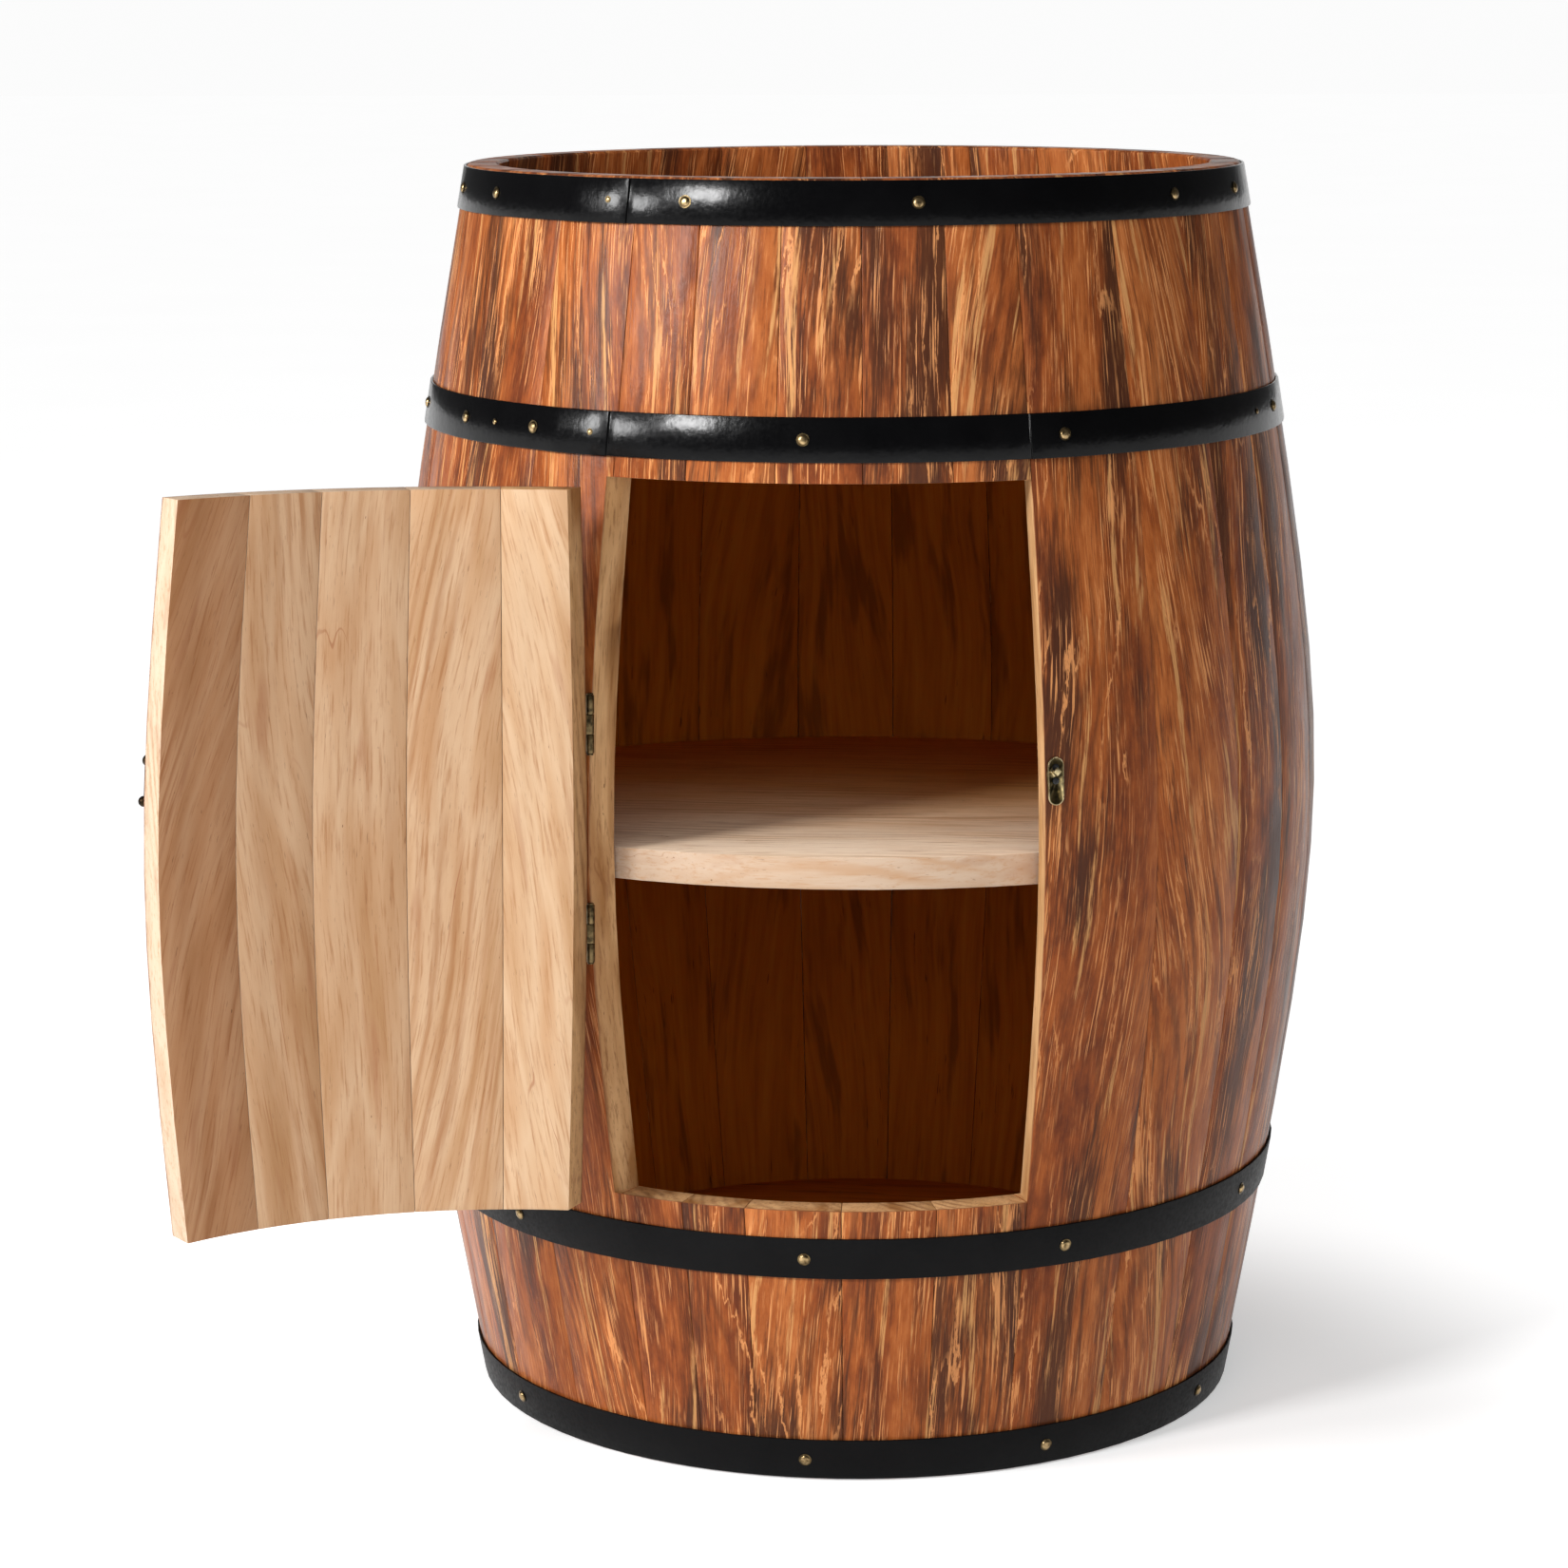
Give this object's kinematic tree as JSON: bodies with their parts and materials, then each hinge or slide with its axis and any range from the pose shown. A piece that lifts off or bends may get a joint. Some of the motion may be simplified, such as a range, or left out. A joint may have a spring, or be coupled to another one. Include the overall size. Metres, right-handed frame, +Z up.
{
  "type": "barrel bar cabinet",
  "caption": "Coopered wooden barrel cabinet with steel hoops, a hinged arched door with a swing latch, and a round inner shelf for bottles.",
  "frame": {"origin": "middle of the footprint of the cabinet with its door open as pictured, on the floor", "axes": "+Z up, the doorway faces -Y, +X to the right of someone who faces the doorway"},
  "size_m": [0.686, 0.7216, 0.8],
  "materials": {
    "stained_pine": "orange-brown stain under semi-gloss varnish",
    "pale_pine": "planed, bare",
    "black_steel": "black gloss enamel",
    "dark_brass": "antique, dull",
    "brass": "aged, satin"
  },
  "bodies": {
    "carcass": {"stave_01": "stained_pine", "stave_02": "stained_pine", "stave_03": "stained_pine", "stave_04": "stained_pine", "stave_05": "stained_pine", "stave_06": "stained_pine", "stave_07": "stained_pine", "stave_08": "stained_pine", "stave_09": "stained_pine", "stave_10": "stained_pine", "stave_11": "stained_pine", "stave_12": "stained_pine", "stave_13": "stained_pine", "stave_14": "stained_pine", "stave_15": "stained_pine", "stave_16": "stained_pine", "stave_17": "stained_pine", "stave_18": "stained_pine", "stave_19": "stained_pine", "stave_20": "stained_pine", "stave_21": "stained_pine", "stave_22": "stained_pine", "lintel_01": "stained_pine", "lintel_02": "stained_pine", "lintel_03": "stained_pine", "lintel_04": "stained_pine", "lintel_05": "stained_pine", "sill_01": "stained_pine", "sill_02": "stained_pine", "sill_03": "stained_pine", "sill_04": "stained_pine", "sill_05": "stained_pine", "hoop_top": "black_steel", "hoop_upper": "black_steel", "hoop_lower": "black_steel", "hoop_bottom": "black_steel", "head_top": "stained_pine", "head_bottom": "stained_pine", "shelf": "pale_pine", "shelf_cleat_1": "pale_pine", "shelf_cleat_2": "pale_pine", "shelf_cleat_3": "pale_pine", "shelf_cleat_4": "pale_pine", "hinge_upper_wall_leaf": "dark_brass", "hinge_upper_pin": "dark_brass", "hinge_lower_wall_leaf": "dark_brass", "hinge_lower_pin": "dark_brass", "latch_keeper": "brass"},
    "door": {"door_board_01": "stained_pine", "door_board_02": "stained_pine", "door_board_03": "stained_pine", "door_board_04": "stained_pine", "door_board_05": "stained_pine", "latch_pivot": "brass", "hinge_upper_door_leaf": "dark_brass", "hinge_lower_door_leaf": "dark_brass"},
    "latch_arm": {"latch_arm": "brass"}
  },
  "joints": [
    {"name": "door_hinge", "type": "hinge", "parent": "carcass", "child": "door", "pos_m": [-0.09451, -0.20991, 0.41356], "axis": [-0.0074, -0.0147, -0.9999], "range_deg": [-154.7, 15.3]},
    {"name": "latch_pivot_joint", "type": "hinge", "parent": "door", "child": "latch_arm", "pos_m": [-0.33419, -0.32169, 0.47243], "axis": [0.7743, -0.6292, -0.0672], "range_deg": [-26, 315]}
  ]
}
